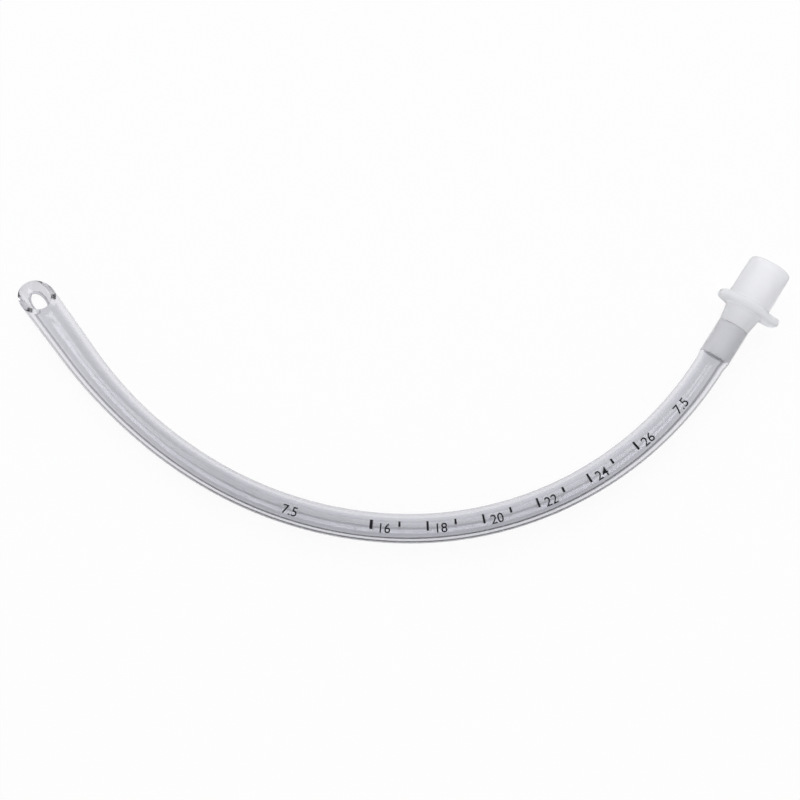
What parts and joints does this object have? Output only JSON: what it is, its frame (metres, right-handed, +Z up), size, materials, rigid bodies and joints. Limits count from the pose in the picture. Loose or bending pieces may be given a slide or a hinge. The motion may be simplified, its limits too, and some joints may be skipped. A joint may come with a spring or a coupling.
{
  "type": "endotracheal tube",
  "caption": "Curved clear tube with a bevelled, open patient end and a side eye, stretched over the stem of a flanged push-in connector with a tapered cone.",
  "frame": {"origin": "on the table, under the middle of the part's box, as the part comes to rest on its side", "axes": "+X from the bevelled tip towards the connector's mouth, +Y towards the concave side of the curve, +Z up from the table"},
  "size_m": [0.2718, 0.0994, 0.018],
  "materials": {
    "clear_tube": "smooth, slightly hazy clear soft plastic",
    "milky_connector": "smooth, milky, semi-clear hard plastic"
  },
  "bodies": {
    "root": {"tube": "clear_tube", "connector": "milky_connector"}
  },
  "joints": []
}
